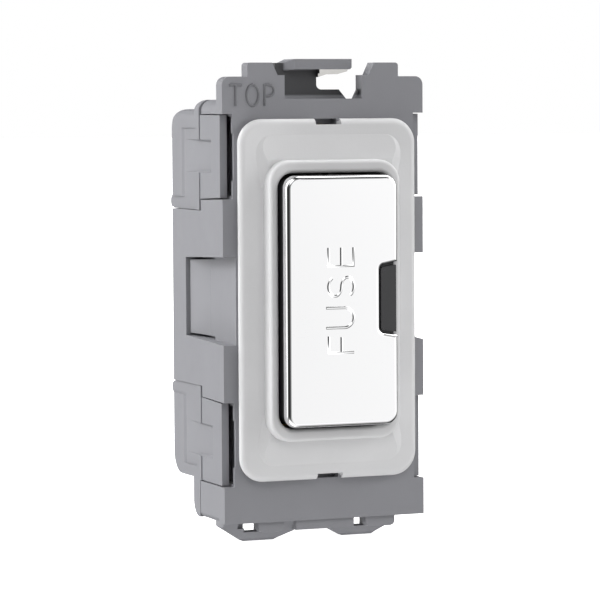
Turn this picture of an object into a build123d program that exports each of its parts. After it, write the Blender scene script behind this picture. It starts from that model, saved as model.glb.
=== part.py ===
from build123d import *
import os

# Fuse holder module for a grid of wiring accessories. Millimetres.
# X runs to the right, Y into the depth from the plate's front face, Z up from the plate's middle.

# Overall size of the module
module_width = 24.4
module_height = 50.0
module_depth = 16.4
plate_thickness = 1.8
seam_depth = 7.3
seam_gap = 0.15
half_width = module_width / 2
half_height = module_height / 2

# Front frame: plate ends, top wall, side pockets for the clip arms, side cheeks and windows
end_height = 4.14
end_edge = half_height - end_height
top_wall = 1.59
bottom_wall = 1.4
top_face = end_edge + top_wall
plate_top_corner = 0.95
plate_bottom_corner = 0.65
wall_corner = 1.3
arm_pocket_depth = 1.2
arm_relief = 0.15
arm_room = 0.9
plate_lip = 0.4
relief_near = 13.4
relief_far = 18.7
block_front = 11.4
block_rear = 11.15
cheek_half = 9.95
cheek_thickness = 3.2
cheek_inner = half_width - cheek_thickness
window_front = 4.95
window_rear = 4.49
window_length = 12.05
window_depth = 1.5
window_bend = 7.9
window_rise = 0.35
groove_front = 6.6
groove_width = 0.3
groove_depth = 2.1
seam_top = 6.6
seam_side = 6.95
seam_bottom = 7.7
seam_inset = 0.9

# Cartridge fuse, lying upright in the carrier
fuse_length = 25.4
fuse_radius = 3.175
cap_length = 6.3
cap_wall = 0.225
cap_end = 0.4
barrel_radius = fuse_radius - cap_wall
barrel_wall = 0.75
element_radius = 0.25
fuse_depth = 1.0
saddle_play = 0.05
saddle_half = 5.8
saddle_outer = 4.25
saddle_open = 1.6

# Carrier: the drawer that holds the fuse, and the chromed cap on its front
carrier_wall = 0.8
carrier_end_wall = 0.9
fuse_end_gap = 0.2
carrier_half_x = 6.55
carrier_half_z = fuse_length / 2 + fuse_end_gap + carrier_end_wall
cover_lap_x = 0.21
cover_lap_z = 0.24
cover_width = 2 * (carrier_half_x + cover_lap_x)
cover_height = 2 * (carrier_half_z + cover_lap_z)
cover_corner = 1.45
cover_proud = 5.45
cover_thickness = 0.7
cover_wall = 0.9
cover_skirt = 1.05
cover_edge = 0.45
cover_draft = 0.14
pry_left = 4.5
pry_top = 3.85
pry_bottom = 3.55
pry_flare = 0.45
pry_corner = 0.6
pry_mouth = 0.7
grip_gap = 0.2
grip_depth = 0.28
front_wall_rear = -2.4
carrier_travel = 8.2
stop_play = 0.1
lug_thickness = 0.5
lug_reach = 0.75
lug_width = 6.0
carrier_rear = front_wall_rear + carrier_travel + stop_play + lug_thickness

# Bezel: lip, a low shoulder at each end and the rim around the aperture
aperture_gap = 0.3
aperture_end_gap = 0.45
aperture_half_x = carrier_half_x + aperture_gap
aperture_half_z = carrier_half_z + aperture_end_gap
aperture_corner = cover_corner + 0.2
lip_half_x = 10.72
lip_half_z = 20.27
lip_corner = 2.8
lip_rear = 0.75
lip_undercut = 0.3
lip_front = 1.5
lip_edge = 0.7
shoulder_half = 8.75
shoulder_waist = 8.1
shoulder_far = 18.5
shoulder_bend = 15.8
shoulder_near = 12.6
shoulder_corner = 2.0
shoulder_slope = 66
shoulder_front = 2.0
rim_half_x = 7.95
rim_half_z = 15.75
rim_corner = 2.6
rim_draft = 0.11
rim_front = 3.45
rim_edge = 0.38
rim_inner_edge = 0.45
hollow_side = 0.25
hollow_end = 0.6
notch_half = 1.55
notch_depth = 0.65
hook_side_gap = 0.15
hook_near = 18.5
hook_far = 19.6
hook_length = 2.5
hook_slot_gap = 0.1
hook_recess = 1.2

# Frame well behind the bezel, in which the carrier slides
well_half_x = aperture_half_x - 0.1
lug_play = 0.28
well_half_z = carrier_half_z + lug_reach + lug_play
well_corner = 1.2
well_wall = 1.2

# Contacts: a fork over each fuse cap, and a strip to its terminal
contact_gap = 0.3
jaw_thickness = 0.7
jaw_front = 0.3
contact_near = 7.0
contact_far = 12.2
strip_thickness = 0.8
strip_half = 3.0
strip_end = 19.0
strip_gap = 0.2
deck_depth = seam_depth + 0.2

# Rear housing, its clip arms, ribs and wells
housing_top = 21.4
housing_bottom = 20.6
housing_wall = 1.3
rear_wall = 1.8
housing_corner = 2.4
housing_side_corner = 1.2
flange_top_depth = 8.9
flange_bottom_depth = 9.95
flange_top_corner = 1.0
flange_bottom_corner = 1.8
arm_thickness = 0.95
arm_set = 0.12
arm_front = 1.1
arm_gap = 0.12
pad_front = 8.65
pad_rear = 13.1
pad_bevel = 0.4
pad_near = 11.42
pad_far = 19.3
pad_drop = 0.18
sill_rear = module_depth + 0.5
recess_front = 3.95
recess_rear = 12.4
recess_near = 14.22
recess_far = 17.98
recess_slope = 0.34
recess_drop = 0.52
bead_radius = 0.68
bead_height = 10.8
bead_out = 0.32
cheek_gap = 0.06
rib_thickness = 1.2

# Terminals and clamp screws
terminal_half = 3.4
terminal_near = 13.9
terminal_far = 19.2
terminal_gap = 0.1
rear_inner = module_depth - rear_wall
bore_radius = 1.9
bore_cover = 3.3
bore_depth = rear_inner - bore_cover
entry_radius = 2.1
entry_funnel = 0.3
screw_radius = 1.75
screw_fit = 0.05
screw_tail = 0.25
screw_height = (terminal_near + terminal_far) / 2
screw_slot = 0.7
screw_slot_depth = 0.8
well_radius = 2.15
well_funnel = 0.4

# Spring latch on the top wall: tabs beside it, cut-out, neck, finger and the steel spring under the finger
tab_outer = 9.15
tab_height = 1.55
tab_top = half_height + tab_height
tab_inner = 6.19
tab_foot = 5.53
tab_step = half_height + 0.15
tab_corner = 0.35
flank_round = 0.45
cut_half = 4.7
cut_floor = top_face + 0.05
gusset_width = 0.55
gusset_height = 1.0
latch_front = 2.0
latch_neck = 3.2
latch_rear = 5.2
latch_top = half_height + 1.98
latch_under = half_height + 0.82
finger_left = -2.64
finger_right = 4.31
finger_cut = 0.2
finger_root = -3.6
root_drop = 0.42
neck_left = -4.6
neck_right = 0.45
neck_round = 0.6
rib_top = top_face + 1.1
rib_flat = 3.2
rib_end = 4.1
spring_front = 2.2
spring_rear = 4.6
spring_tip = 4.05
spring_bright = 0.37
spring_drop = 0.88
spring_set = 0.45
tail_left = -0.9
tail_front = 3.6
tail_rear = 4.4
tail_thickness = 0.3

# Feet under the bottom wall, with the tab between them
foot_drop = 2.28
foot_front = 0.8
foot_rear = 3.4
foot_slope_front = 0.85
foot_slope_rear = 2.3
foot_land = 0.24
foot_bottom = -half_height - foot_drop
foot_inset = 0.2
left_foot = (foot_inset - half_width, 0.5, -9.2, -5.5, -3.2, 1.3)
right_foot = (0.95, 1.2, 2.9, 6.6, 8.85, 0.9)
boss_front = 0.5
boss_rear = 1.75
boss_drop = 1.2
boss_round = 0.6
left_boss = (-7.95, -4.93)
right_boss = (5.16, 8.75)
bar_left = -3.45
bar_right = 3.65
bar_front = 0.4
bar_rear = 2.6
bar_drop = 1.1
eye_drop = 1.2
left_eye = (-9.31, -7.45)
right_eye = (3.73, 5.6)
blind_left = -10.2
blind_rear = 1.9
blind_drop = 0.75


def at_depth(y):
    """Front-view plane at a depth: its x is X, its y is Z, and it faces the viewer."""
    return Plane.XZ.offset(-y)


def outline(points):
    """Closed straight-sided face in the sketch at hand."""
    Polygon(*points, align=None)


def window_room(side):
    """Room cut from one cheek for its window: a level floor that ramps out to the rear."""
    with BuildPart() as room:
        with BuildSketch(Plane.YZ.offset(side * (half_width - window_depth))):
            outline([
                (-0.2, window_front), (window_length, window_rear),
                (window_length, -window_rear), (-0.2, -window_front),
            ])
        extrude(amount=side * (window_depth + 1))
        with BuildSketch(Plane.XY.offset(-window_front - 1)):
            outline([
                (side * (half_width + 1), -0.2), (side * (half_width - window_depth), -0.2),
                (side * (half_width - window_depth), window_bend),
                (side * (half_width - window_rise), window_length), (side * (half_width + 1), window_length),
            ])
        extrude(amount=2 * window_front + 2, mode=Mode.INTERSECT)
    return room.part


left_window = window_room(-1)
right_window = window_room(1)

# Front frame: plate, walls, well, cheeks, latch and feet in one moulding
with BuildPart() as front_frame:
    # plate with its two tabs and the latch cut-out between them
    with BuildSketch(at_depth(0)) as plate_sketch:
        outline([
            (-cut_half, cut_floor), (cut_half, cut_floor), (cut_half, tab_step), (tab_foot, tab_step),
            (tab_inner, tab_top), (tab_outer, tab_top), (tab_outer, half_height), (half_width, half_height),
            (half_width, -half_height), (-half_width, -half_height), (-half_width, half_height),
            (-tab_outer, half_height), (-tab_outer, tab_top), (-tab_inner, tab_top), (-tab_foot, tab_step),
            (-cut_half, tab_step),
        ])
        side_corners = [v for v in plate_sketch.vertices() if abs(v.X) > half_width - 0.01]
        fillet([v for v in side_corners if v.Y > 0], plate_top_corner)
        fillet([v for v in side_corners if v.Y < 0], plate_bottom_corner)
        tab_points = [v for v in plate_sketch.vertices() if v.Y > half_height + 0.01]
        fillet([v for v in tab_points if abs(v.X) > tab_outer - 0.01], tab_corner)
        fillet([v for v in tab_points if tab_foot - 0.01 < abs(v.X) < tab_inner + 0.01], flank_round)
    extrude(amount=-plate_thickness)
    # outer walls behind the plate
    with BuildSketch(at_depth(plate_thickness)) as wall_sketch:
        outline([
            (-half_width, top_face), (half_width, top_face),
            (half_width, -half_height), (-half_width, -half_height),
        ])
        fillet([v for v in wall_sketch.vertices() if v.Y < 0], plate_bottom_corner)
        fillet([v for v in wall_sketch.vertices() if v.Y > 0], wall_corner)
    extrude(amount=-(seam_depth - plate_thickness))
    # hollow from the rear, around the well
    with BuildSketch(at_depth(plate_thickness)):
        outline([
            (-cheek_inner, end_edge), (cheek_inner, end_edge),
            (cheek_inner, -half_height + bottom_wall), (-cheek_inner, -half_height + bottom_wall),
        ])
        shaft_half_x = well_half_x + well_wall
        shaft_half_z = well_half_z + well_wall
        RectangleRounded(2 * shaft_half_x, 2 * shaft_half_z, well_corner + well_wall, mode=Mode.SUBTRACT)
    extrude(amount=-(seam_depth - plate_thickness), mode=Mode.SUBTRACT)
    # well for the carrier
    with BuildSketch(at_depth(0)):
        RectangleRounded(2 * well_half_x, 2 * well_half_z, well_corner)
    extrude(amount=-seam_depth, mode=Mode.SUBTRACT)
    # cheeks that run to the rear
    for side in (-1, 1):
        with BuildSketch(Plane.YZ.offset(side * cheek_inner)):
            outline([
                (seam_depth - 1, -cheek_half), (module_depth, -cheek_half),
                (module_depth, cheek_half), (seam_depth - 1, cheek_half),
            ])
        extrude(amount=side * cheek_thickness)
    # pockets for the clip arms, with their relief, and room behind the plate's edge for the arms to give
    for side in (-1, 1):
        for end in (-1, 1):
            with BuildSketch(Plane.YZ.offset(side * (half_width - arm_pocket_depth))):
                outline([
                    (-1, end * block_front), (seam_depth + 0.1, end * block_rear),
                    (seam_depth + 0.1, end * end_edge), (-1, end * end_edge),
                ])
            extrude(amount=side * 3, mode=Mode.SUBTRACT)
            with BuildSketch(Plane.YZ.offset(side * (half_width - arm_pocket_depth - arm_relief))):
                outline([
                    (-1, end * relief_near), (seam_depth + 0.1, end * relief_near),
                    (seam_depth + 0.1, end * relief_far), (-1, end * relief_far),
                ])
            extrude(amount=side * 3, mode=Mode.SUBTRACT)
            with BuildSketch(Plane.YZ.offset(side * (half_width - arm_pocket_depth - arm_room))):
                outline([
                    (plate_lip, end * (block_front + 0.3)), (seam_depth + 0.1, end * (block_front + 0.3)),
                    (seam_depth + 0.1, end * (end_edge - 0.3)), (plate_lip, end * (end_edge - 0.3)),
                ])
            extrude(amount=side * 3, mode=Mode.SUBTRACT)
    # window in each cheek, with a narrow groove around its rear half
    add(left_window, mode=Mode.SUBTRACT)
    add(right_window, mode=Mode.SUBTRACT)
    groove_share = (groove_front + 0.2) / (window_length + 0.2)
    groove_edge = window_front + groove_share * (window_rear - window_front)
    for side in (-1, 1):
        with BuildSketch(Plane.YZ.offset(side * (half_width - groove_depth))):
            Polygon(
                (groove_front, groove_edge), (window_length, window_rear),
                (window_length, -window_rear), (groove_front, -groove_edge), align=None,
            )
            Polygon(
                (groove_front - 0.1, groove_edge - groove_width),
                (window_length - groove_width, window_rear - groove_width),
                (window_length - groove_width, groove_width - window_rear),
                (groove_front - 0.1, groove_width - groove_edge), align=None, mode=Mode.SUBTRACT,
            )
        extrude(amount=side * 5, mode=Mode.SUBTRACT)
    # open seam to the rear housing: over the top wall, behind the blocks between arm and cheek
    with BuildSketch(at_depth(seam_top)):
        with Locations((0, (end_edge + top_face + 1) / 2)):
            Rectangle(2 * half_width + 2, top_face + 1 - end_edge)
        with Locations((0, end_edge)):
            Rectangle(2 * (half_width - seam_inset), 2 * (top_wall - seam_inset), mode=Mode.SUBTRACT)
    extrude(amount=-(seam_depth - seam_top + 0.01), mode=Mode.SUBTRACT)
    for side in (-1, 1):
        for end in (-1, 1):
            with BuildSketch(at_depth(seam_side)):
                with Locations((side * half_width, end * (cheek_half + block_rear + 0.3) / 2)):
                    Rectangle(2 * seam_inset, block_rear + 0.3 - cheek_half)
            extrude(amount=-(seam_depth - seam_side + 0.01), mode=Mode.SUBTRACT)
    # the bottom wall reaches a little further back
    with BuildSketch(at_depth(seam_depth - 0.1)) as bottom_sketch:
        outline([
            (-half_width, -end_edge), (-half_width, -half_height), (half_width, -half_height),
            (half_width, -end_edge), (cheek_inner, -end_edge), (cheek_inner, bottom_wall - half_height),
            (-cheek_inner, bottom_wall - half_height), (-cheek_inner, -end_edge),
        ])
        fillet([v for v in bottom_sketch.vertices() if v.Y < 0.01 - half_height], plate_bottom_corner)
    extrude(amount=-(seam_bottom - seam_depth + 0.1))
    # slots for the bezel hooks, each with a blind recess up to the notch, and slots for the contact strips
    for end in (-1, 1):
        with BuildSketch(at_depth(0)):
            with Locations((0, end * (hook_near + hook_far) / 2)):
                Rectangle(2 * notch_half, hook_far - hook_near + 2 * hook_slot_gap)
        extrude(amount=-plate_thickness, mode=Mode.SUBTRACT)
        with BuildSketch(at_depth(0)):
            with Locations((0, end * (hook_far + lip_half_z) / 2)):
                Rectangle(2 * notch_half, lip_half_z - hook_far)
        extrude(amount=-hook_recess, mode=Mode.SUBTRACT)
        with BuildSketch(at_depth(deck_depth - strip_thickness - strip_gap)):
            with Locations((0, end * (well_half_z + well_wall / 2))):
                Rectangle(2 * (strip_half + strip_gap), well_wall * 2)
        extrude(amount=-5, mode=Mode.SUBTRACT)
    # spring latch: neck and rear rib, the finger that runs to the front, and the slope between them
    with BuildSketch(at_depth(latch_neck)) as latch_sketch:
        outline([
            (neck_left, cut_floor - 0.2), (neck_left, latch_top - root_drop),
            (finger_root, latch_top - root_drop), (finger_left, latch_top),
            (finger_right, latch_top), (finger_right, latch_under + finger_cut),
            (finger_right - finger_cut, latch_under), (neck_right, latch_under), (neck_right, rib_top),
            (rib_flat, rib_top), (rib_end, cut_floor), (rib_end, cut_floor - 0.2),
        ])
        neck_points = [v for v in latch_sketch.vertices() if abs(v.X - neck_right) < 0.01]
        fillet([v for v in neck_points if v.Y < rib_top + 0.01], neck_round)
    extrude(amount=-(latch_rear - latch_neck))
    with BuildSketch(at_depth(latch_front)):
        outline([
            (finger_left, latch_under), (finger_left, latch_top), (finger_right, latch_top),
            (finger_right, latch_under + finger_cut), (finger_right - finger_cut, latch_under),
        ])
    extrude(amount=-(latch_neck - latch_front))
    with BuildSketch(Plane.YZ.offset(finger_left)):
        outline([
            (latch_front, latch_under), (latch_neck + 0.3, latch_under), (latch_neck + 0.3, latch_top),
            (latch_front, latch_top),
        ])
    with BuildSketch(Plane.YZ.offset(finger_root)):
        outline([
            (latch_neck - 0.1, latch_under - 0.2), (latch_neck + 0.3, latch_under - 0.2),
            (latch_neck + 0.3, latch_top - root_drop), (latch_neck - 0.1, latch_top - root_drop),
        ])
    loft()
    # slot in the neck that holds the tail of the latch spring
    with BuildSketch(at_depth(tail_front)):
        with Locations(((tail_left + neck_right) / 2, latch_under - spring_bright)):
            Rectangle(neck_right - tail_left + 0.001, tail_thickness)
    extrude(amount=-(tail_rear - tail_front), mode=Mode.SUBTRACT)
    # gusset at the foot of the cut-out's right wall
    with BuildSketch(at_depth(plate_thickness / 2)):
        outline([
            (cut_half, cut_floor - 0.1), (cut_half, cut_floor + gusset_height),
            (cut_half - gusset_width, cut_floor - 0.1),
        ])
    extrude(amount=-plate_thickness / 2)
    # feet: outline, sloped front with a narrow land at the bottom, and the eye through each
    for left, left_drop, flat_left, flat_right, right, right_drop in (left_foot, right_foot):
        with BuildSketch(at_depth(foot_front)):
            outline([
                (left, 0.2 - half_height), (left, -half_height - left_drop), (flat_left, foot_bottom),
                (flat_right, foot_bottom), (right, -half_height - right_drop), (right, 0.2 - half_height),
            ])
        extrude(amount=-(foot_rear - foot_front))
    with BuildSketch(Plane.YZ):
        outline([
            (foot_front - 0.5, -half_height), (foot_slope_front, -half_height),
            (foot_slope_rear, foot_bottom + foot_land),
            (foot_slope_rear, foot_bottom - 0.5), (foot_front - 0.5, foot_bottom - 0.5),
        ])
    extrude(amount=half_width + 1, both=True, mode=Mode.SUBTRACT)
    for eye_left, eye_right in (left_eye, right_eye):
        with BuildSketch(at_depth(0)):
            outline([
                (eye_left, -half_height), (eye_right, -half_height),
                (eye_right, -half_height - eye_drop), (eye_left, -half_height - eye_drop),
            ])
        extrude(amount=-(foot_rear + 1), mode=Mode.SUBTRACT)
    with BuildSketch(at_depth(0)):
        outline([
            (blind_left, -half_height), (left_eye[0], -half_height),
            (left_eye[0], -half_height - blind_drop), (blind_left, -half_height - blind_drop),
        ])
    extrude(amount=-blind_rear, mode=Mode.SUBTRACT)
    # boss in front of each foot, and the tab between the feet
    for boss_left, boss_right in (left_boss, right_boss):
        with BuildSketch(at_depth(boss_front)) as boss_sketch:
            outline([
                (boss_left, 0.2 - half_height), (boss_right, 0.2 - half_height),
                (boss_right, -half_height - boss_drop), (boss_left, -half_height - boss_drop),
            ])
            fillet(boss_sketch.vertices().sort_by(Axis.Y)[0:2], boss_round)
        extrude(amount=-(boss_rear - boss_front))
    with BuildSketch(at_depth(bar_front)):
        outline([
            (bar_left, 0.2 - half_height), (bar_right, 0.2 - half_height),
            (bar_right, -half_height - bar_drop), (bar_left, -half_height - bar_drop),
        ])
    extrude(amount=-(bar_rear - bar_front))
front_frame.part.label = "front_frame"

# Latch spring: a steel spring under the finger, held by its tail in the neck
spring_mid = latch_under - spring_bright
with BuildPart() as latch_spring:
    with BuildSketch(at_depth(spring_front)):
        outline([
            (neck_right, latch_under), (spring_tip, latch_under), (spring_tip - 0.35, latch_under - 0.1),
            (0.5 * spring_tip, spring_mid), (neck_right, spring_mid - 0.1),
        ])
    extrude(amount=-(spring_rear - spring_front))
    with BuildSketch(at_depth(spring_front + spring_set)):
        outline([
            (neck_right, latch_under), (spring_tip, latch_under), (spring_tip, latch_under - 0.22),
            (0.7 * spring_tip, latch_under - 0.54), (0.36 * spring_tip, latch_under - 0.57),
            (neck_right, latch_under - spring_drop),
        ])
    extrude(amount=-(spring_rear - spring_front - spring_set))
    with BuildSketch(at_depth(tail_front)):
        with Locations(((tail_left + neck_right) / 2, spring_mid)):
            Rectangle(neck_right - tail_left + 0.001, tail_thickness)
    extrude(amount=-(tail_rear - tail_front))
latch_spring.part.label = "latch_spring"

# Bezel: lip, shoulders, rim, with the hollow behind and the two hooks
base_half_x = lip_half_x - lip_undercut
base_half_z = lip_half_z - lip_undercut
crest_half_x = rim_half_x - rim_draft
crest_half_z = rim_half_z - rim_draft
with BuildPart() as bezel:
    with BuildSketch(at_depth(0)):
        RectangleRounded(2 * base_half_x, 2 * base_half_z, lip_corner - lip_undercut)
    extrude(amount=lip_rear)
    with BuildSketch(at_depth(-lip_rear)):
        RectangleRounded(2 * lip_half_x, 2 * lip_half_z, lip_corner)
    extrude(amount=lip_front - lip_rear)
    fillet(bezel.faces().sort_by(Axis.Y)[0].edges(), lip_edge)
    # soft shoulder at each end: sloped sides, and a front that ramps up to the foot of the rim
    for end in (-1, 1):
        with BuildSketch(at_depth(-lip_front)) as shoulder_sketch:
            outline([
                (-shoulder_waist, end * shoulder_near), (-shoulder_half, end * shoulder_bend),
                (-shoulder_half, end * shoulder_far), (shoulder_half, end * shoulder_far),
                (shoulder_half, end * shoulder_bend), (shoulder_waist, end * shoulder_near),
            ])
            fillet([v for v in shoulder_sketch.vertices() if abs(v.Y) > shoulder_far - 0.01], shoulder_corner)
        extrude(amount=shoulder_front - lip_front, taper=shoulder_slope)
        with BuildSketch(Plane.YZ):
            outline([
                (-lip_front, end * shoulder_far), (-shoulder_front, end * rim_half_z),
                (-shoulder_front - 0.5, end * rim_half_z), (-shoulder_front - 0.5, end * (shoulder_far + 0.5)),
                (-lip_front, end * (shoulder_far + 0.5)),
            ])
        extrude(amount=lip_half_x, both=True, mode=Mode.SUBTRACT)
    with BuildSketch(at_depth(-lip_front + 0.2)):
        RectangleRounded(2 * rim_half_x, 2 * rim_half_z, rim_corner)
    with BuildSketch(at_depth(-rim_front)):
        RectangleRounded(2 * crest_half_x, 2 * crest_half_z, rim_corner - rim_draft)
    loft()
    fillet(bezel.faces().sort_by(Axis.Y)[0].edges(), rim_edge)
    with BuildSketch(at_depth(1)):
        RectangleRounded(2 * aperture_half_x, 2 * aperture_half_z, aperture_corner)
    extrude(amount=8, mode=Mode.SUBTRACT)
    fillet(bezel.faces().sort_by(Axis.Y)[0].inner_wires()[0].edges(), rim_inner_edge)
    with BuildSketch(at_depth(0)):
        hollow_half_x = aperture_half_x + hollow_side
        RectangleRounded(2 * hollow_half_x, 2 * (aperture_half_z + hollow_end), aperture_corner)
    extrude(amount=-front_wall_rear, mode=Mode.SUBTRACT)
    for end in (-1, 1):
        with BuildSketch(at_depth(0.2)):
            with Locations((0, end * lip_half_z)):
                Rectangle(2 * notch_half, 2 * notch_depth)
        extrude(amount=4, mode=Mode.SUBTRACT)
        with BuildSketch(at_depth(0)):
            with Locations((0, end * (hook_near + hook_far) / 2)):
                Rectangle(2 * (notch_half - hook_side_gap), hook_far - hook_near)
        extrude(amount=-hook_length)
bezel.part.label = "bezel"

# Cover: a chromed cap over the carrier's front wall, with the pry notch in its right edge
cover_rear = -cover_proud + cover_skirt
cover_inner = -cover_proud + cover_thickness
face_width = cover_width - 2 * cover_draft
face_height = cover_height - 2 * cover_draft
wall_width = cover_width - 2 * cover_wall
wall_height = cover_height - 2 * cover_wall
wall_round = cover_corner - cover_wall + 0.2
with BuildPart() as carrier_cover:
    with BuildSketch(at_depth(cover_rear)):
        RectangleRounded(cover_width, cover_height, cover_corner)
    with BuildSketch(at_depth(-cover_proud)):
        RectangleRounded(face_width, face_height, cover_corner - cover_draft)
    loft()
    # pry notch, with a rounded mouth
    with BuildSketch(at_depth(cover_rear)) as plan_sketch:
        RectangleRounded(cover_width, cover_height, cover_corner)
        Polygon(
            (pry_left, pry_top), (cover_width / 2 + 0.2, pry_top + pry_flare),
            (cover_width / 2 + 0.2, -pry_bottom - pry_flare), (pry_left, -pry_bottom),
            align=None, mode=Mode.SUBTRACT,
        )
        notch_points = [v for v in plan_sketch.vertices() if abs(v.Y) < pry_top + 1 and v.X > 0]
        fillet([v for v in notch_points if v.X < pry_left + 0.01], pry_corner)
        fillet([v for v in notch_points if v.X > cover_width / 2 - 0.01], pry_mouth)
    extrude(amount=cover_skirt + 1, mode=Mode.INTERSECT)
    fillet(carrier_cover.faces().sort_by(Axis.Y)[0].edges(), cover_edge)
    with BuildSketch(at_depth(cover_rear)):
        RectangleRounded(wall_width, wall_height, wall_round)
    extrude(amount=cover_skirt - cover_thickness, mode=Mode.SUBTRACT)
carrier_cover.part.label = "carrier_cover"

# Carrier: front wall in the cover, drawer frame behind it, stop lugs and the fuse saddle
fuse_room = fuse_length / 2 + fuse_end_gap
with BuildPart() as fuse_carrier:
    with BuildSketch(at_depth(front_wall_rear)):
        RectangleRounded(wall_width, wall_height, wall_round)
    extrude(amount=front_wall_rear - cover_inner)
    with BuildSketch(at_depth(cover_rear)):
        RectangleRounded(2 * carrier_half_x, 2 * carrier_half_z, cover_corner)
    extrude(amount=-(carrier_rear - cover_rear))
    with BuildSketch(at_depth(front_wall_rear)):
        RectangleRounded(2 * (carrier_half_x - carrier_wall), 2 * fuse_room, 0.4)
    extrude(amount=-10, mode=Mode.SUBTRACT)
    # grip that fills the pry notch of the cover, a little below its face
    with BuildSketch(at_depth(cover_rear)) as grip_sketch:
        outline([
            (pry_left + grip_gap, pry_top - grip_gap),
            (carrier_half_x, pry_top + pry_flare - 2 * grip_gap),
            (carrier_half_x, 2 * grip_gap - pry_bottom - pry_flare),
            (pry_left + grip_gap, grip_gap - pry_bottom),
        ])
        fillet([v for v in grip_sketch.vertices() if v.X < pry_left + grip_gap + 0.01], pry_corner - grip_gap)
    extrude(amount=cover_rear + cover_proud - grip_depth)
    # side openings through which the fuse is changed
    with BuildSketch(Plane.YZ):
        outline([
            (front_wall_rear, -fuse_room), (carrier_rear - 1.6, -fuse_room),
            (carrier_rear - 1.6, fuse_room), (front_wall_rear, fuse_room),
        ])
    extrude(amount=10, mode=Mode.SUBTRACT)
    # saddle around the barrel, open to the right
    with BuildSketch(Plane.XY.offset(-saddle_half)):
        outline([
            (-saddle_outer, front_wall_rear - 0.2), (saddle_open, front_wall_rear - 0.2),
            (saddle_open, fuse_depth + saddle_outer - 0.2), (-saddle_outer, fuse_depth + saddle_outer - 0.2),
        ])
        with Locations((0, fuse_depth)):
            Circle(barrel_radius + saddle_play, mode=Mode.SUBTRACT)
    extrude(amount=2 * saddle_half)
    # stop lugs at the rear of the end walls
    for end in (-1, 1):
        with BuildSketch(at_depth(carrier_rear - lug_thickness)):
            with Locations((0, end * (carrier_half_z + lug_reach / 2 - 0.1))):
                Rectangle(lug_width, lug_reach + 0.2)
        extrude(amount=-lug_thickness)
fuse_carrier.part.label = "fuse_carrier"

# Cartridge fuse: ceramic tube, metal caps and the element between them
with BuildPart() as fuse_barrel:
    with Locations((0, fuse_depth, 0)):
        Cylinder(barrel_radius, fuse_length - 2 * cap_end)
        Cylinder(barrel_radius - barrel_wall, fuse_length, mode=Mode.SUBTRACT)
fuse_barrel.part.label = "fuse_barrel"


def fuse_cap(end):
    """One end cap of the fuse, at the top (1) or the bottom (-1)."""
    with BuildPart() as cap:
        with Locations((0, fuse_depth, end * (fuse_length - cap_length) / 2)):
            Cylinder(fuse_radius, cap_length)
        outer = cap.faces().filter_by(Axis.Z).sort_by(Axis.Z)[-1 if end > 0 else 0]
        fillet(outer.edges(), 0.2)
        with Locations((0, fuse_depth, end * ((fuse_length - cap_length) / 2 - cap_end))):
            Cylinder(barrel_radius, cap_length, mode=Mode.SUBTRACT)
    return cap.part


fuse_cap_upper = fuse_cap(1)
fuse_cap_upper.label = "fuse_cap_upper"
fuse_cap_lower = fuse_cap(-1)
fuse_cap_lower.label = "fuse_cap_lower"

with BuildPart() as fuse_element:
    with Locations((0, fuse_depth, 0)):
        Cylinder(element_radius, fuse_length - 2 * cap_end)
fuse_element.part.label = "fuse_element"


def contact(end):
    """Fork over one fuse cap, with the strip that lies on its terminal."""
    jaw_inner = fuse_radius + contact_gap
    with BuildPart() as fork:
        with BuildSketch(Plane.XY.offset(end * contact_near)):
            outline([
                (-jaw_inner - jaw_thickness, deck_depth), (-jaw_inner - jaw_thickness, jaw_front),
                (-jaw_inner, jaw_front), (-jaw_inner, deck_depth - strip_thickness),
                (jaw_inner, deck_depth - strip_thickness), (jaw_inner, jaw_front),
                (jaw_inner + jaw_thickness, jaw_front), (jaw_inner + jaw_thickness, deck_depth),
            ])
        extrude(amount=end * (contact_far - contact_near))
        with BuildSketch(at_depth(deck_depth)):
            with Locations((0, end * (contact_near + strip_end) / 2)):
                Rectangle(2 * strip_half, strip_end - contact_near)
        extrude(amount=strip_thickness)
    return fork.part


supply_contact = contact(1)
supply_contact.label = "supply_contact"
load_contact = contact(-1)
load_contact.label = "load_contact"


def terminal(end):
    """Brass block with its wire bore and clamp-screw hole."""
    with BuildPart() as block:
        with BuildSketch(at_depth(deck_depth)):
            with Locations((0, end * screw_height)):
                Rectangle(2 * terminal_half, terminal_far - terminal_near)
        extrude(amount=-(rear_inner - deck_depth))
        with Locations((0, bore_depth, end * screw_height)):
            Cylinder(bore_radius, 2 * (terminal_far - terminal_near), mode=Mode.SUBTRACT)
        with BuildSketch(at_depth(bore_depth)):
            with Locations((0, end * screw_height)):
                Circle(screw_radius + screw_fit)
        extrude(amount=-2 * bore_cover, mode=Mode.SUBTRACT)
    return block.part


supply_terminal = terminal(1)
supply_terminal.label = "supply_terminal"
load_terminal = terminal(-1)
load_terminal.label = "load_terminal"


def clamp_screw(end):
    """Headless slotted clamp screw, backed out so that the wire bore is clear."""
    screw_front = bore_depth + bore_radius + 0.05
    screw_rear = module_depth - screw_tail
    with BuildPart() as screw:
        with BuildSketch(at_depth(screw_front)):
            with Locations((0, end * screw_height)):
                Circle(screw_radius)
        extrude(amount=-(screw_rear - screw_front))
        chamfer(screw.edges().filter_by(GeomType.CIRCLE), 0.25)
        with BuildSketch(at_depth(screw_rear)):
            with Locations((0, end * screw_height)):
                Rectangle(2 * screw_radius + 1, screw_slot, rotation=35)
        extrude(amount=screw_slot_depth, mode=Mode.SUBTRACT)
    return screw.part


supply_screw = clamp_screw(1)
supply_screw.label = "supply_screw"
load_screw = clamp_screw(-1)
load_screw.label = "load_screw"

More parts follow.
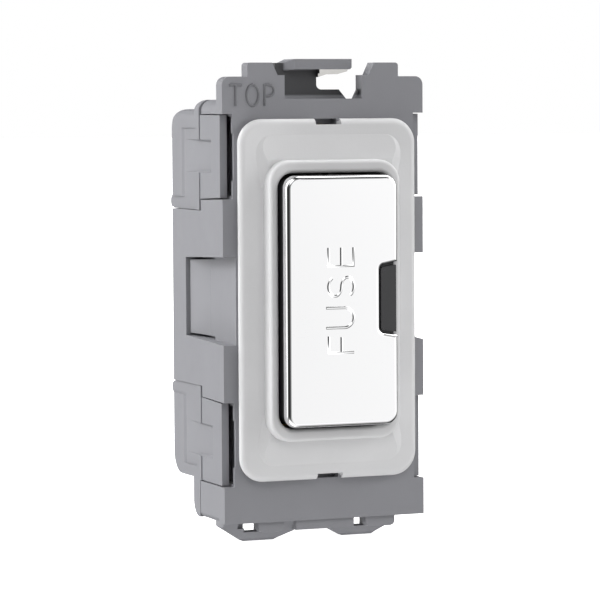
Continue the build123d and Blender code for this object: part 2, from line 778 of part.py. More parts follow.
# Rear housing: flange, box and clip arms in one moulding
flange_front = seam_depth + seam_gap
with BuildPart() as rear_housing:
    with BuildSketch(Plane.YZ) as side_sketch:
        outline([
            (flange_front, top_face), (flange_top_depth, top_face), (flange_top_depth, housing_top),
            (module_depth, housing_top), (module_depth, -housing_bottom),
            (flange_bottom_depth, -housing_bottom), (flange_bottom_depth, -half_height),
            (flange_front, -half_height),
        ])
        fillet([v for v in side_sketch.vertices() if v.X > module_depth - 0.01], housing_corner)
        fillet([v for v in side_sketch.vertices() if v.X > flange_front + 0.01 and v.Y > top_face - 0.01],
               flange_top_corner)
        fillet([v for v in side_sketch.vertices() if v.X > flange_front + 0.01 and v.Y < 0.01 - half_height],
               flange_bottom_corner)
    extrude(amount=half_width, both=True)
    # rounded upper side corners of the flange and of the box behind it
    for side in (-1, 1):
        for top, radius, near, far in (
            (top_face, wall_corner, flange_front - 0.5, flange_top_depth),
            (housing_top, housing_side_corner, flange_top_depth, module_depth + 0.5),
        ):
            with BuildSketch(at_depth(near)):
                with Locations((side * (half_width - radius / 2 + 0.25), top - radius / 2 + 0.25)):
                    Rectangle(radius + 0.5, radius + 0.5)
                with Locations((side * (half_width - radius), top - radius)):
                    Circle(radius, mode=Mode.SUBTRACT)
            extrude(amount=near - far, mode=Mode.SUBTRACT)
    # the frame's bottom wall reaches further back, so the flange starts later there
    with BuildSketch(at_depth(flange_front - 1)):
        with Locations((0, -end_edge - 3 + 0.05)):
            Rectangle(2 * half_width + 2, 6)
    extrude(amount=-(seam_bottom + seam_gap - flange_front + 1), mode=Mode.SUBTRACT)
    # hollow, open to the front
    with BuildSketch(Plane.YZ):
        outline([
            (flange_front, housing_top - housing_wall), (rear_inner, housing_top - housing_wall),
            (rear_inner, housing_wall - housing_bottom), (flange_front, housing_wall - housing_bottom),
        ])
    extrude(amount=half_width - housing_wall, both=True, mode=Mode.SUBTRACT)
    # room for the frame's cheeks
    for side in (-1, 1):
        with BuildSketch(Plane.YZ.offset(side * (cheek_inner - cheek_gap))):
            outline([
                (0, -cheek_half - cheek_gap), (module_depth + 1, -cheek_half - cheek_gap),
                (module_depth + 1, cheek_half + cheek_gap), (0, cheek_half + cheek_gap),
            ])
        extrude(amount=side * 5, mode=Mode.SUBTRACT)
    # ribs that hold the terminals and carry the contacts
    for side in (-1, 1):
        for end, far in ((1, housing_top), (-1, housing_bottom)):
            with BuildSketch(Plane.YZ.offset(side * (terminal_half + terminal_gap))):
                outline([
                    (deck_depth, end * 5), (rear_inner + 0.2, end * 5),
                    (rear_inner + 0.2, end * (far - 0.5)), (deck_depth, end * (far - 0.5)),
                ])
            extrude(amount=side * rib_thickness)
    # clip arms, with the shallow field and the deeper recess on each
    for side in (-1, 1):
        for end in (-1, 1):
            with BuildSketch(Plane.YZ.offset(side * (half_width - arm_thickness))):
                outline([
                    (arm_front, end * (block_front + arm_gap)),
                    (seam_depth + 0.3, end * (block_rear + arm_gap)),
                    (flange_top_depth + 1, end * (block_rear + arm_gap)),
                    (flange_top_depth + 1, end * (end_edge - arm_gap)),
                    (arm_front, end * (end_edge - arm_gap)),
                ])
            extrude(amount=side * (arm_thickness - arm_set))
            # shallow field behind the flange band, with a bevel at its rear, and the sill below it
            with BuildSketch(Plane.XY.offset(end * pad_near)):
                outline([
                    (side * (half_width + 0.5), pad_front), (side * (half_width - pad_drop), pad_front),
                    (side * (half_width - pad_drop), pad_rear - pad_bevel), (side * half_width, pad_rear),
                    (side * (half_width + 0.5), pad_rear),
                ])
            extrude(amount=end * (pad_far - pad_near), mode=Mode.SUBTRACT)
            with BuildSketch(Plane.YZ.offset(side * (half_width - pad_drop))):
                outline([
                    (pad_front, end * cheek_half), (sill_rear, end * cheek_half),
                    (sill_rear, end * (pad_near + 0.01)), (pad_front, end * (pad_near + 0.01)),
                ])
            extrude(amount=side, mode=Mode.SUBTRACT)
            # recess across flange and arm, with sloped sides and a floor that falls to the front
            with BuildSketch(Plane.YZ.offset(side * (half_width - pad_drop))):
                outline([
                    (recess_front, end * recess_near), (recess_rear, end * recess_near),
                    (recess_rear, end * recess_far), (recess_front, end * recess_far),
                ])
            extrude(amount=side, mode=Mode.SUBTRACT)
            with BuildSketch(Plane.YZ.offset(side * (half_width - pad_drop))):
                outline([
                    (recess_front, end * recess_near), (recess_rear, end * recess_near),
                    (recess_rear, end * recess_far), (recess_front, end * recess_far),
                ])
            with BuildSketch(Plane.YZ.offset(side * (half_width - recess_drop))):
                outline([
                    (recess_front, end * (recess_near + recess_slope)),
                    (recess_front + 0.4, end * (recess_near + recess_slope)),
                    (recess_front + 0.4, end * (recess_far - recess_slope)),
                    (recess_front, end * (recess_far - recess_slope)),
                ])
            loft(ruled=True, mode=Mode.SUBTRACT)
    # half-round ribs across the rear
    for end in (-1, 1):
        with BuildSketch(Plane.YZ):
            with Locations((module_depth + bead_out, end * bead_height)):
                Circle(bead_radius)
        extrude(amount=half_width - pad_drop, both=True)
    # groove in the lower flange, past which the load wire runs
    with Locations((0, bore_depth, -half_height)):
        Cylinder(entry_radius + entry_funnel, 2 * (half_height - housing_bottom), mode=Mode.SUBTRACT)
    # wire entries and screw wells, each with a funnel
    for end, face in ((1, housing_top), (-1, housing_bottom)):
        with Locations((0, bore_depth, end * (face - housing_wall / 2))):
            Cylinder(entry_radius, housing_wall + 1, mode=Mode.SUBTRACT)
        with BuildSketch(Plane.XY.offset(end * face)):
            with Locations((0, bore_depth)):
                Circle(entry_radius + entry_funnel)
        with BuildSketch(Plane.XY.offset(end * (face - entry_funnel))):
            with Locations((0, bore_depth)):
                Circle(entry_radius)
        loft(mode=Mode.SUBTRACT)
        with BuildSketch(at_depth(rear_inner)):
            with Locations((0, end * screw_height)):
                Circle(well_radius)
        extrude(amount=-3, mode=Mode.SUBTRACT)
        with BuildSketch(at_depth(module_depth)):
            with Locations((0, end * screw_height)):
                Circle(well_radius + well_funnel)
        with BuildSketch(at_depth(module_depth - well_funnel)):
            with Locations((0, end * screw_height)):
                Circle(well_radius)
        loft(mode=Mode.SUBTRACT)
rear_housing.part.label = "rear_housing"

os.makedirs("parts", exist_ok=True)
export_step(front_frame.part, "parts/front_frame.step")
export_step(latch_spring.part, "parts/latch_spring.step")
export_step(bezel.part, "parts/bezel.step")
export_step(carrier_cover.part, "parts/carrier_cover.step")
export_step(fuse_carrier.part, "parts/fuse_carrier.step")
export_step(fuse_barrel.part, "parts/fuse_barrel.step")
export_step(fuse_cap_upper, "parts/fuse_cap_upper.step")
export_step(fuse_cap_lower, "parts/fuse_cap_lower.step")
export_step(fuse_element.part, "parts/fuse_element.step")
export_step(supply_contact, "parts/supply_contact.step")
export_step(load_contact, "parts/load_contact.step")
export_step(supply_terminal, "parts/supply_terminal.step")
export_step(load_terminal, "parts/load_terminal.step")
export_step(supply_screw, "parts/supply_screw.step")
export_step(load_screw, "parts/load_screw.step")
export_step(rear_housing.part, "parts/rear_housing.step")
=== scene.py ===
"""Looks of a fuse holder module for a grid of wiring accessories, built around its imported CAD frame."""

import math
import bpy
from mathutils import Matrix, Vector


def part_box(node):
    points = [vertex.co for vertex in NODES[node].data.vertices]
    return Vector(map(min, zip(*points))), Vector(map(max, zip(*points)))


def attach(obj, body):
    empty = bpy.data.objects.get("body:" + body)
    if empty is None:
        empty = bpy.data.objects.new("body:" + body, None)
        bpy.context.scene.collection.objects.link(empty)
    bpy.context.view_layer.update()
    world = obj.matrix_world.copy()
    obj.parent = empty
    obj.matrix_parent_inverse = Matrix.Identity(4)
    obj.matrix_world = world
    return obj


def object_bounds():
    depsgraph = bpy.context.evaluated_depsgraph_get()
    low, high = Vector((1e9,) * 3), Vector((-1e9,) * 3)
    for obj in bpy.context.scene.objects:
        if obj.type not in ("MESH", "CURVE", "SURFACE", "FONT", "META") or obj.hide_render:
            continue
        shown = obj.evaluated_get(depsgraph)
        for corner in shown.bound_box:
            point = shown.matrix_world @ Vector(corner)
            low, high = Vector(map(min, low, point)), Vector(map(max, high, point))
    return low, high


bl_info = {
    "name": "Fuse Holder Module",
    "version": (1, 0, 0),
    "blender": (4, 5, 0),
    "location": "View3D > Sidebar > Fuse Module",
    "description": "Finishes, raised lettering and studio for a fuse holder module",
    "category": "Object",
}

import bpy
from bpy.props import FloatProperty, FloatVectorProperty, PointerProperty
from mathutils import Matrix, Vector

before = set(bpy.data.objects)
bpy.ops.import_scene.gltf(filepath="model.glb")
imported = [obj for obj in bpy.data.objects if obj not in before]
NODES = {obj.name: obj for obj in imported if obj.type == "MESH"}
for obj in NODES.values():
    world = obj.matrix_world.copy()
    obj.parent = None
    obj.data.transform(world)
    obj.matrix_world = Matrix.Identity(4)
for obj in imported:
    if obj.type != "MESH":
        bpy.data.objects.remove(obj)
CAD_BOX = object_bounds()
MM = 0.001
MICRON = 0.000001

# Edges and faces that the lettering and the painted shade by the latch are set out from, read from the frame
FRAME_LOW, FRAME_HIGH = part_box("front_frame")
PLATE_LEFT = FRAME_LOW.x
PLATE_FACE = FRAME_LOW.y
LATCH_TOP = FRAME_HIGH.z
COVER_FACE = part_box("carrier_cover")[0].y

# Letters of a word, in millimetres: capital, left end, base line, width and height.
# The plate's are set out from its left edge and from the top of the latch, the cover's from its middle
PLATE_WORD = (
    ("T", 0.9, -5.23, 1.46, 2.33),
    ("O", 2.95, -5.23, 1.42, 2.33),
    ("P", 5.1, -5.23, 1.1, 2.33),
)
COVER_WORD = (
    ("F", -5.7, -1.26, 1.85, 3.01),
    ("U", -2.93, -1.26, 2.22, 3.31),
    ("S", 0.58, -1.28, 2.1, 3.06),
    ("E", 3.93, -1.26, 2.06, 3.01),
)
# Share of the stroke's radius that the cover's strokes are sunk in
COVER_SINK = 0.55

# Places around the latch where shade is painted into the frame's grey, as they are nearly black in the
# photo: two corners of each box, in millimetres from the plate's middle, from its face into the depth and
# from the top of the latch
PAINTED_SHADE_ZERO = (0.0, PLATE_FACE, LATCH_TOP)
LATCH_PAINTED_SHADE = {
    "under the finger": ((-6.4, 2.0, -4.08), (10.1, 4.6, -1.23)),
    "left of the neck": ((-6.4, 2.6, -1.23), (-3.6, 4.6, 1.02)),
    "floor of the cut-out": ((-6.4, 0.3, -4.08), (10.1, 1.4, -3.38)),
}
# Softness of the painted shade's edges in millimetres, and how dark it makes the grey
PAINTED_SHADE_FADE = 0.3
PAINTED_SHADE_TONE = 0.22

# Surface of the grey mouldings, and the rounding of the metal edges
MOULD_SURFACE = {"roughness": 0.46, "grain_depth": 10 * MICRON}
STAMPED_EDGE = 0.05 * MM
SAWN_EDGE = 0.08 * MM
SHARP_ANGLE = 40.0

# Studio glows: azimuth from the front (to the right is positive), elevation, strength and focus
BROAD, CLOSE, CLOSER = 12.0, 40.0, 55.0
EVEN_FILL = 0.03
GLOWS = {
    "below the front": (0.0, -60.0, 0.85, BROAD),
    "below the left": (-72.0, -60.0, 4.9, BROAD),
    "low front": (18.0, -22.0, 1.05, BROAD),
    "mirrored in the cover": (22.0, 8.0, 0.48, CLOSER),
    "front right": (51.4, 8.0, 1.7, BROAD),
    "right": (77.1, 8.0, 0.9, BROAD),
    "rear left": (-128.6, 8.0, 3.1, BROAD),
    "raised right": (72.0, 30.0, 6.7, CLOSE),
    "raised rear left": (-112.0, 36.0, 15.6, CLOSE),
    "raised left": (-90.0, 36.0, 0.5, BROAD),
    "raised front": (-18.0, 36.0, 5.6, CLOSE),
    "high right": (110.0, 58.0, 8.3, CLOSE),
    "high left": (-72.0, 64.0, 3.8, CLOSE),
}

# Stage: a wide floor a hair below the part, and the point that the camera looks at
FLOOR_HEIGHT = CAD_BOX[0].z - 0.2 * MM
FLOOR_REACH = 4.0
FLOOR_PALE = (0.9, 0.9, 0.9, 1.0)
WHITE = (1.0, 1.0, 1.0, 1.0)
CAMERA_TARGET = Vector((-2.984 * MM, 0.0, -0.067 * MM))
SENSOR_WIDTH = 36.0
NEAREST_SEEN = 0.01


def bearing(azimuth, elevation):
    """The direction at these angles in radians, with azimuth 0 at the front and positive to the right."""
    level = math.cos(elevation)
    return Vector((math.sin(azimuth) * level, -math.cos(azimuth) * level, math.sin(elevation)))


class Socket:
    """A shader socket that does its maths through Math nodes."""

    def __init__(self, tree, socket):
        self.tree = tree
        self.socket = socket

    def _math(self, operation, first, second):
        return self.tree.make("ShaderNodeMath", {"operation": operation}, {0: first, 1: second})

    def __add__(self, other):
        return self._math("ADD", self, other)

    def __radd__(self, other):
        return self._math("ADD", other, self)

    def __sub__(self, other):
        return self._math("SUBTRACT", self, other)

    def __rsub__(self, other):
        return self._math("SUBTRACT", other, self)

    def __mul__(self, other):
        return self._math("MULTIPLY", self, other)

    def __rmul__(self, other):
        return self._math("MULTIPLY", other, self)

    def __pow__(self, other):
        return self._math("POWER", self, other)

    def at_least(self, other):
        return self._math("MAXIMUM", self, other)


class Nodes:
    """A shader tree whose nodes are made one at a time."""

    def __init__(self, owner, output):
        owner.use_nodes = True
        self.nodes = owner.node_tree.nodes
        self.links = owner.node_tree.links
        self.nodes.clear()
        self.output = self.nodes.new(output)

    def make(self, kind, settings=None, values=None, out=0):
        """Adds a node of this kind: its settings first, then the values or links of its sockets."""
        node = self.nodes.new(kind)
        for key, value in (settings or {}).items():
            if key == "stops":
                ramp = node.color_ramp
                while len(ramp.elements) < len(value):
                    ramp.elements.new(1.0)
                for element, (place, grey) in zip(ramp.elements, value):
                    element.position = place
                    element.color = (grey, grey, grey, 1.0)
            else:
                setattr(node, key, value)
        for key, value in (values or {}).items():
            if isinstance(value, Socket):
                self.links.new(value.socket, node.inputs[key])
            else:
                node.inputs[key].default_value = value
        return Socket(self, node.outputs[out])


class Surround(Nodes):
    """The soft light all around, made of glows."""

    def __init__(self, name):
        self.world = bpy.data.worlds.new(name)
        super().__init__(self.world, "ShaderNodeOutputWorld")

    def glow(self, azimuth, elevation, strength, focus):
        """A soft light from one direction in degrees, which fades out faster with more focus."""
        towards = bearing(math.radians(azimuth), math.radians(elevation))
        values = {0: self.make("ShaderNodeTexCoord", out="Generated"), 1: towards}
        facing = self.make("ShaderNodeVectorMath", {"operation": "DOT_PRODUCT"}, values, out="Value")
        return facing.at_least(0.0) ** focus * strength

    def finish(self, light, backdrop):
        """Closes the world: this light on the object, and an even white behind it."""
        seen = self.make("ShaderNodeLightPath", out="Is Camera Ray")
        strength = light * (1.0 - seen) + seen * backdrop
        surface = self.make("ShaderNodeBackground", None, {"Color": WHITE, "Strength": strength})
        self.links.new(surface.socket, self.output.inputs["Surface"])
        return self.world


class Finish(Nodes):
    """A material whose nodes are made one at a time."""

    def __init__(self, name):
        self.material = bpy.data.materials.new(name)
        super().__init__(self.material, "ShaderNodeOutputMaterial")

    def place(self):
        """Where a point lies on the object, in metres."""
        return self.make("ShaderNodeTexCoord", out="Object")

    def noise(self, scale, detail=3.0, roughness=0.5, vector=None):
        """Soft noise between 0 and 1; scale is in features per metre."""
        values = {"Vector": vector or self.place(), "Scale": scale, "Detail": detail, "Roughness": roughness}
        return self.make("ShaderNodeTexNoise", None, values)

    def stretched(self, factors):
        """Object coordinates scaled along each axis, for drawn or rolled grain."""
        return self.make("ShaderNodeMapping", None, {"Vector": self.place(), "Scale": factors})

    def blend(self, factor, first, second):
        """Mixes two colours."""
        values = {"Factor": factor, "A": first, "B": second}
        return self.make("ShaderNodeMix", {"data_type": "RGBA"}, values, out="Result")

    def within(self, zero, low, high, fade):
        """1 in a box and 0 outside it, with soft sides: its corners and fade in millimetres from zero."""
        share = 1.0
        for axis, origin, start, end in zip("XYZ", zero, low, high):
            place = self.make("ShaderNodeSeparateXYZ", None, {"Vector": self.place()}, out=axis)
            for side, inwards in ((start, fade / 2), (end, -fade / 2)):
                step = {"Value": place, "From Min": origin + (side - inwards) * MM,
                        "From Max": origin + (side + inwards) * MM}
                share = share * self.make("ShaderNodeMapRange", {"interpolation_type": "SMOOTHSTEP"}, step)
        return share

    def bump(self, height, distance, strength=1.0):
        """Surface relief, with its depth in metres."""
        values = {"Height": height, "Distance": distance, "Strength": strength}
        return self.make("ShaderNodeBump", None, values)

    def finish(self, **sockets):
        """Closes the material with one principled shader."""
        values = {key.replace("_", " "): value for key, value in sockets.items()}
        shader = self.make("ShaderNodeBsdfPrincipled", None, values)
        self.links.new(shader.socket, self.output.inputs["Surface"])
        return self.material


def shade(values, factor=1.0):
    """A colour as the four numbers that a socket takes, lighter or darker by a factor."""
    return tuple(min(1.0, v * factor) for v in values[:3]) + (1.0,)


def around(value, spread, pattern):
    """A value that a pattern between 0 and 1 moves down and up by a spread."""
    return value - spread + 2 * spread * pattern


def moulded_plastic(name, base, roughness, grain_depth, painted_shade_boxes=None):
    """Spark-eroded moulded plastic: fine grain, soft mottle, a little change of gloss, and painted shade in
    given boxes.
    """
    finish = Finish(name)
    mottle = finish.noise(scale=170.0, detail=4.0, roughness=0.6)
    grain = finish.noise(scale=5200.0, detail=2.0, roughness=0.6)
    tint = finish.blend(mottle, shade(base, 0.94), shade(base, 1.06))
    # painted shade: the grey is darkened inside the boxes around the latch, where little light reaches
    if painted_shade_boxes:
        painted_shade_share = sum(finish.within(PAINTED_SHADE_ZERO, low, high, PAINTED_SHADE_FADE) for low, high in painted_shade_boxes.values())
        tint = finish.blend(painted_shade_share, tint, shade(base, PAINTED_SHADE_TONE))
    gloss = around(roughness, 0.06, finish.noise(scale=420.0, detail=3.0, roughness=0.6))
    relief = finish.bump(grain, grain_depth)
    return finish.finish(Base_Color=tint, Roughness=gloss, Normal=relief, Specular_IOR_Level=0.42)


def plated_chrome(name, base):
    """Bright plated plastic: near mirror, with faint haze and the slight waviness of a moulded face."""
    finish = Finish(name)
    haze = finish.noise(scale=900.0, detail=3.0, roughness=0.7)
    wave = finish.noise(scale=95.0, detail=1.0, roughness=0.4)
    gloss = around(0.05, 0.015, haze)
    relief = finish.bump(wave, 4 * MICRON, strength=0.35)
    return finish.finish(Base_Color=shade(base), Metallic=1.0, Roughness=gloss, Normal=relief)


def grained_metal(name, base, roughness, stretch, depth):
    """Rolled, drawn or sawn metal: grain along one way, with a little change of colour.

    The stretch is in features per metre along each axis, and the depth of the grain in metres.
    """
    finish = Finish(name)
    grain = finish.noise(scale=1.0, detail=4.0, roughness=0.65, vector=finish.stretched(stretch))
    mottle = finish.noise(scale=260.0, detail=3.0, roughness=0.6)
    tint = finish.blend(mottle, shade(base, 0.9), shade(base, 1.05))
    gloss = around(roughness, 0.08, grain)
    relief = finish.bump(grain, depth)
    return finish.finish(Base_Color=tint, Metallic=1.0, Roughness=gloss, Normal=relief)


def fired_ceramic(name, base):
    """Unglazed fired ceramic: faint speckle and a dry, finely pitted face."""
    finish = Finish(name)
    spots = finish.noise(scale=2600.0, detail=2.0, roughness=0.5)
    speckle = finish.make("ShaderNodeValToRGB", {"stops": ((0.62, 0.0), (0.75, 1.0))}, {"Fac": spots})
    tint = finish.blend(speckle, shade(base), shade(base, 0.86))
    relief = finish.bump(finish.noise(scale=3800.0, detail=3.0, roughness=0.6), 12 * MICRON)
    return finish.finish(Base_Color=tint, Roughness=0.62, Normal=relief)


def dress(node, material, edge=0.0):
    """Gives a CAD node its finish, and softens its edges."""
    part = NODES[node]
    part.data.materials.clear()
    part.data.materials.append(material)
    if edge > 0:
        rounding = part.modifiers.new("soft_edges", "BEVEL")
        rounding.width = edge
        rounding.segments = 2
        rounding.limit_method = "ANGLE"
        rounding.angle_limit = math.radians(SHARP_ANGLE)


def arc(centre, radii, start, end, count=20):
    """Points along part of an ellipse, angles in degrees."""
    points = []
    for step in range(count + 1):
        angle = math.radians(start + (end - start) * step / count)
        points.append((centre[0] + radii[0] * math.cos(angle), centre[1] + radii[1] * math.sin(angle)))
    return points


def glyph_strokes(letter, width, height):
    """Plain strokes of one capital from its lower left corner, each with whether it is closed."""
    w, h = width, height
    bar = 0.49 * h
    bowl = 0.27 * h
    if letter == "T":
        return [([(0, h), (w, h)], False), ([(w / 2, h), (w / 2, 0)], False)]
    if letter == "O":
        return [(arc((w / 2, h / 2), (w / 2, h / 2), 0, 360, count=40)[:-1], True)]
    if letter == "P":
        round_end = arc((w - bowl, h - bowl), (bowl, bowl), 90, -90, count=16)
        return [([(0, 0), (0, h)] + round_end + [(0, h - 2 * bowl)], False)]
    if letter == "F":
        return [([(0, 0), (0, h), (w, h)], False), ([(0, bar), (0.93 * w, bar)], False)]
    if letter == "U":
        round_foot = arc((w / 2, w / 2), (w / 2, w / 2), 180, 360)
        return [([(0, h), (0, w / 2)] + round_foot + [(w, h)], False)]
    if letter == "S":
        upper = arc((w / 2, (h + bar) / 2), (w / 2, (h - bar) / 2), 25, 270)
        lower = arc((w / 2, bar / 2), (w / 2, bar / 2), 90, -155)
        return [(upper + lower, False)]
    if letter == "E":
        return [([(w, h), (0, h), (0, 0), (w, 0)], False), ([(0, bar), (w, bar)], False)]
    raise ValueError(f"no strokes for {letter}")


def raised_letters(name, letters, to_face, radius, sink, material):
    """One mesh of raised round strokes.

    Each letter is its capital, left end, base line, width and height in millimetres. The strokes' radius
    and how far their middle is sunk below the face are in metres.
    """
    curve = bpy.data.curves.new(name, "CURVE")
    curve.dimensions = "3D"
    curve.bevel_depth = radius
    curve.bevel_resolution = 4
    curve.use_fill_caps = True
    for letter, left, base, width, height in letters:
        for points, closed in glyph_strokes(letter, width, height):
            spline = curve.splines.new("POLY")
            spline.points.add(len(points) - 1)
            spline.use_cyclic_u = closed
            for point, (u, v) in zip(spline.points, points):
                place = to_face @ Vector(((left + u) * MM, (base + v) * MM, -sink))
                point.co = (place.x, place.y, place.z, 1.0)
    holder = bpy.data.objects.new(name + "_curve", curve)
    bpy.context.scene.collection.objects.link(holder)
    bpy.context.view_layer.update()
    mesh = bpy.data.meshes.new_from_object(holder.evaluated_get(bpy.context.evaluated_depsgraph_get()))
    bpy.data.objects.remove(holder)
    mesh.name = name
    for polygon in mesh.polygons:
        polygon.use_smooth = True
    mesh.materials.clear()
    mesh.materials.append(material)
    piece = bpy.data.objects.new(name, mesh)
    bpy.context.scene.collection.objects.link(piece)
    return piece


class FuseModuleFinishes(bpy.types.PropertyGroup):
    """Colours and finishes of the module."""

    mould: FloatVectorProperty(
        name="Mould grey", description="Frame and rear housing", subtype="COLOR", size=3,
        default=(0.243, 0.244, 0.262), min=0, max=1)
    # darker than the mould grey of the same plate: painted shade along the raised strokes
    letter: FloatVectorProperty(
        name="Letter grey", description="Raised word on the plate", subtype="COLOR", size=3,
        default=(0.16, 0.161, 0.173), min=0, max=1)
    bezel: FloatVectorProperty(
        name="Bezel grey", description="Bezel around the carrier", subtype="COLOR", size=3,
        default=(0.65, 0.65, 0.657), min=0, max=1)
    carrier: FloatVectorProperty(
        name="Carrier", description="Dark carrier body", subtype="COLOR", size=3,
        default=(0.035, 0.035, 0.037), min=0, max=1)
    chrome: FloatVectorProperty(
        name="Chrome", description="Plated cover", subtype="COLOR", size=3,
        default=(0.93, 0.93, 0.935), min=0, max=1)
    brass: FloatVectorProperty(
        name="Brass", description="Contacts and terminals", subtype="COLOR", size=3,
        default=(0.78, 0.57, 0.27), min=0, max=1)
    steel: FloatVectorProperty(
        name="Steel", description="Latch spring and clamp screws", subtype="COLOR", size=3,
        default=(0.66, 0.65, 0.63), min=0, max=1)
    plated: FloatVectorProperty(
        name="Fuse caps", description="Plated caps of the fuse", subtype="COLOR", size=3,
        default=(0.8, 0.78, 0.73), min=0, max=1)
    ceramic: FloatVectorProperty(
        name="Ceramic", description="Barrel of the fuse", subtype="COLOR", size=3,
        default=(0.83, 0.8, 0.72), min=0, max=1)
    copper: FloatVectorProperty(
        name="Copper", description="Element of the fuse", subtype="COLOR", size=3,
        default=(0.72, 0.42, 0.28), min=0, max=1)
    mould_edge: FloatProperty(
        name="Mould edge", description="Rounding of moulded edges", subtype="DISTANCE",
        default=0.12 * MM, min=0, max=0.5 * MM, precision=5)


class FuseModuleLettering(bpy.types.PropertyGroup):
    """Raised lettering on the plate and on the cover."""

    plate_stroke: FloatProperty(
        name="Plate stroke", description="Radius of the plate's strokes", subtype="DISTANCE",
        default=0.16 * MM, min=0.05 * MM, max=0.5 * MM, precision=5)
    cover_stroke: FloatProperty(
        name="Cover stroke", description="Radius of the cover's strokes", subtype="DISTANCE",
        default=0.2 * MM, min=0.05 * MM, max=0.5 * MM, precision=5)


class FuseModuleStudio(bpy.types.PropertyGroup):
    """Camera, light and floor."""

    azimuth: FloatProperty(
        name="Azimuth", description="Camera's turn about the upright axis", subtype="ANGLE",
        default=math.radians(-22.145))
    elevation: FloatProperty(
        name="Elevation", description="Camera's height angle", subtype="ANGLE",
        default=math.radians(3.524))
    roll: FloatProperty(
        name="Roll", description="Camera's roll", subtype="ANGLE",
        default=math.radians(-0.32))
    distance: FloatProperty(
        name="Distance", description="From the camera to its target", subtype="DISTANCE",
        default=0.36, min=0.05)
    lens: FloatProperty(
        name="Lens", description="Focal length on a 36 mm sensor", unit="CAMERA",
        default=192.21, min=10)
    light: FloatProperty(
        name="Light", description="Strength of the soft light all around", default=1.0, min=0)
    backdrop: FloatProperty(
        name="Backdrop", description="Brightness of the white behind the object", default=1.0, min=0)
    floor: FloatProperty(
        name="Floor", description="Brightness of the pale floor", default=1.0, min=0)


class FUSEMODULE_OT_mouldings(bpy.types.Operator):
    """Finish the grey frame and rear housing, and the light bezel"""

    bl_idname = "fusemodule.mouldings"
    bl_label = "Finish Mouldings"

    def execute(self, context):
        looks = context.scene.fusemodule_finishes
        grey = moulded_plastic("mould_grey", looks.mould, **MOULD_SURFACE)
        # the frame's grey carries painted shade in the recess around the latch
        grey_with_painted_shade = moulded_plastic("frame_grey", looks.mould, painted_shade_boxes=LATCH_PAINTED_SHADE, **MOULD_SURFACE)
        satin = moulded_plastic("bezel_satin", looks.bezel, roughness=0.44, grain_depth=6 * MICRON)
        dress("front_frame", grey_with_painted_shade, looks.mould_edge)
        dress("rear_housing", grey, looks.mould_edge)
        dress("bezel", satin, looks.mould_edge / 2)
        return {"FINISHED"}


class FUSEMODULE_OT_carrier(bpy.types.Operator):
    """Finish the fuse carrier and its plated cover"""

    bl_idname = "fusemodule.carrier"
    bl_label = "Finish Carrier"

    def execute(self, context):
        looks = context.scene.fusemodule_finishes
        black = moulded_plastic("carrier_black", looks.carrier, roughness=0.4, grain_depth=8 * MICRON)
        dress("fuse_carrier", black, looks.mould_edge)
        dress("carrier_cover", plated_chrome("cover_plating", looks.chrome))
        return {"FINISHED"}


class FUSEMODULE_OT_fuse(bpy.types.Operator):
    """Finish the cartridge fuse"""

    bl_idname = "fusemodule.fuse"
    bl_label = "Finish Fuse"

    def execute(self, context):
        looks = context.scene.fusemodule_finishes
        dress("fuse_barrel", fired_ceramic("barrel_ceramic", looks.ceramic))
        plated = grained_metal("cap_plating", looks.plated, roughness=0.26,
                               stretch=(900, 900, 9000), depth=4 * MICRON)
        dress("fuse_cap_upper", plated)
        dress("fuse_cap_lower", plated)
        drawn = grained_metal("element_copper", looks.copper, roughness=0.3,
                              stretch=(4000, 4000, 400), depth=3 * MICRON)
        dress("fuse_element", drawn)
        return {"FINISHED"}


class FUSEMODULE_OT_metalwork(bpy.types.Operator):
    """Finish the contacts, the terminals, the clamp screws and the latch spring"""

    bl_idname = "fusemodule.metalwork"
    bl_label = "Finish Metalwork"

    def execute(self, context):
        looks = context.scene.fusemodule_finishes
        stamped = grained_metal("contact_brass_rolled", looks.brass, roughness=0.3,
                                stretch=(700, 700, 7000), depth=4 * MICRON)
        sawn = grained_metal("terminal_brass_sawn", looks.brass, roughness=0.36,
                             stretch=(6500, 900, 900), depth=6 * MICRON)
        zinc = grained_metal("screw_zinc", looks.steel, roughness=0.34,
                             stretch=(5000, 900, 5000), depth=5 * MICRON)
        bright = grained_metal("spring_bright", looks.steel, roughness=0.24,
                               stretch=(600, 6000, 6000), depth=3 * MICRON)
        for end in ("supply", "load"):
            dress(end + "_contact", stamped, STAMPED_EDGE)
            dress(end + "_terminal", sawn, SAWN_EDGE)
            dress(end + "_screw", zinc)
        dress("latch_spring", bright)
        return {"FINISHED"}


class FUSEMODULE_OT_lettering(bpy.types.Operator):
    """Add the raised words on the plate and on the cover"""

    bl_idname = "fusemodule.lettering"
    bl_label = "Add Lettering"

    def execute(self, context):
        sizes = context.scene.fusemodule_lettering
        looks = context.scene.fusemodule_finishes
        # upright on the plate: u is X, v is Z, and the face looks along -Y
        upright = Matrix(((1, 0, 0, PLATE_LEFT), (0, 0, -1, PLATE_FACE), (0, 1, 0, LATCH_TOP), (0, 0, 0, 1)))
        # the strokes take the darker letter grey, which paints the shade along them
        words = raised_letters("plate_word", PLATE_WORD, upright, sizes.plate_stroke, 0.0,
                               moulded_plastic("letter_grey_painted_shade", looks.letter, **MOULD_SURFACE))
        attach(words, "module")
        # turned a quarter on the cover: u is Z and v is -X, so it reads upwards
        turned = Matrix(((0, -1, 0, 0), (0, 0, -1, COVER_FACE), (1, 0, 0, 0), (0, 0, 0, 1)))
        legend = raised_letters("cover_word", COVER_WORD, turned, sizes.cover_stroke,
                                sizes.cover_stroke * COVER_SINK, bpy.data.materials["cover_plating"])
        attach(legend, "carrier")
        return {"FINISHED"}


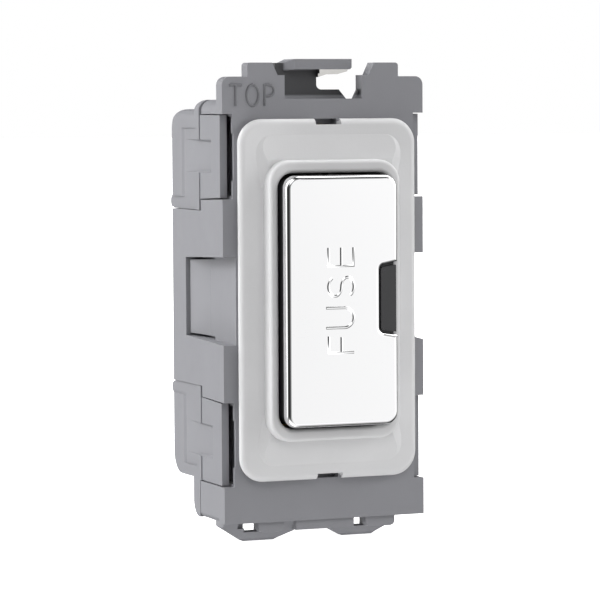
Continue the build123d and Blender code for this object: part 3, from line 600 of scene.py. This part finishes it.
class FUSEMODULE_OT_stage(bpy.types.Operator):
    """Set the floor, the light and the camera"""

    bl_idname = "fusemodule.stage"
    bl_label = "Set Stage"

    def execute(self, context):
        scene = context.scene
        studio = scene.fusemodule_studio
        floor_mesh = bpy.data.meshes.new("floor")
        far = FLOOR_REACH
        corners = [(x, y, FLOOR_HEIGHT) for x, y in ((-far, -far), (far, -far), (far, far), (-far, far))]
        floor_mesh.from_pydata(corners, [], [(0, 1, 2, 3)])
        floor = bpy.data.objects.new("floor", floor_mesh)
        scene.collection.objects.link(floor)
        pale = Finish("floor_pale").finish(Base_Color=FLOOR_PALE, Roughness=0.9, Emission_Color=WHITE,
                                           Emission_Strength=studio.floor)
        floor_mesh.materials.append(pale)
        # the floor is only seen: it neither lights the underside nor stands in the way of the low glows
        floor.visible_diffuse = False
        floor.visible_glossy = False
        floor.visible_transmission = False
        floor.visible_shadow = False

        surround = Surround("studio_soft")
        light = sum(surround.glow(*glow) for glow in GLOWS.values()) + EVEN_FILL
        scene.world = surround.finish(light * studio.light, studio.backdrop)
        scene.view_settings.view_transform = "Standard"

        camera_data = bpy.data.cameras.new("camera")
        camera_data.lens = studio.lens
        camera_data.sensor_width = SENSOR_WIDTH
        camera_data.clip_start = NEAREST_SEEN
        camera = bpy.data.objects.new("camera", camera_data)
        scene.collection.objects.link(camera)
        back = bearing(studio.azimuth, studio.elevation)
        right = Vector((0, 0, 1)).cross(back).normalized()
        up = back.cross(right)
        side = right * math.cos(studio.roll) + up * math.sin(studio.roll)
        top = up * math.cos(studio.roll) - right * math.sin(studio.roll)
        turned = Matrix((side, top, back)).transposed().to_4x4()
        camera.matrix_world = Matrix.Translation(CAMERA_TARGET + back * studio.distance) @ turned
        scene.camera = camera
        return {"FINISHED"}


class FUSEMODULE_PT_sidebar(bpy.types.Panel):
    """Pieces and settings of the fuse holder module"""

    bl_idname = "FUSEMODULE_PT_sidebar"
    bl_label = "Fuse Module"
    bl_space_type = "VIEW_3D"
    bl_region_type = "UI"
    bl_category = "Fuse Module"

    def draw(self, context):
        for operator in OPERATORS:
            self.layout.operator(operator.bl_idname)
        for name in GROUPS:
            group = getattr(context.scene, name)
            box = self.layout.box()
            for setting in group.__annotations__:
                box.prop(group, setting)


OPERATORS = (FUSEMODULE_OT_mouldings, FUSEMODULE_OT_carrier, FUSEMODULE_OT_fuse, FUSEMODULE_OT_metalwork,
             FUSEMODULE_OT_lettering, FUSEMODULE_OT_stage)
GROUPS = {"fusemodule_finishes": FuseModuleFinishes, "fusemodule_lettering": FuseModuleLettering,
          "fusemodule_studio": FuseModuleStudio}


def register():
    for group in GROUPS.values():
        bpy.utils.register_class(group)
    for operator in OPERATORS:
        bpy.utils.register_class(operator)
    bpy.utils.register_class(FUSEMODULE_PT_sidebar)
    for name, group in GROUPS.items():
        setattr(bpy.types.Scene, name, PointerProperty(type=group))


def unregister():
    for name in GROUPS:
        delattr(bpy.types.Scene, name)
    bpy.utils.unregister_class(FUSEMODULE_PT_sidebar)
    for operator in reversed(OPERATORS):
        bpy.utils.unregister_class(operator)
    for group in reversed(list(GROUPS.values())):
        bpy.utils.unregister_class(group)


def main():
    register()
    bpy.ops.fusemodule.mouldings()
    bpy.ops.fusemodule.carrier()
    bpy.ops.fusemodule.fuse()
    bpy.ops.fusemodule.metalwork()
    bpy.ops.fusemodule.lettering()
    bpy.ops.fusemodule.stage()


if __name__ == "__main__":
    main()
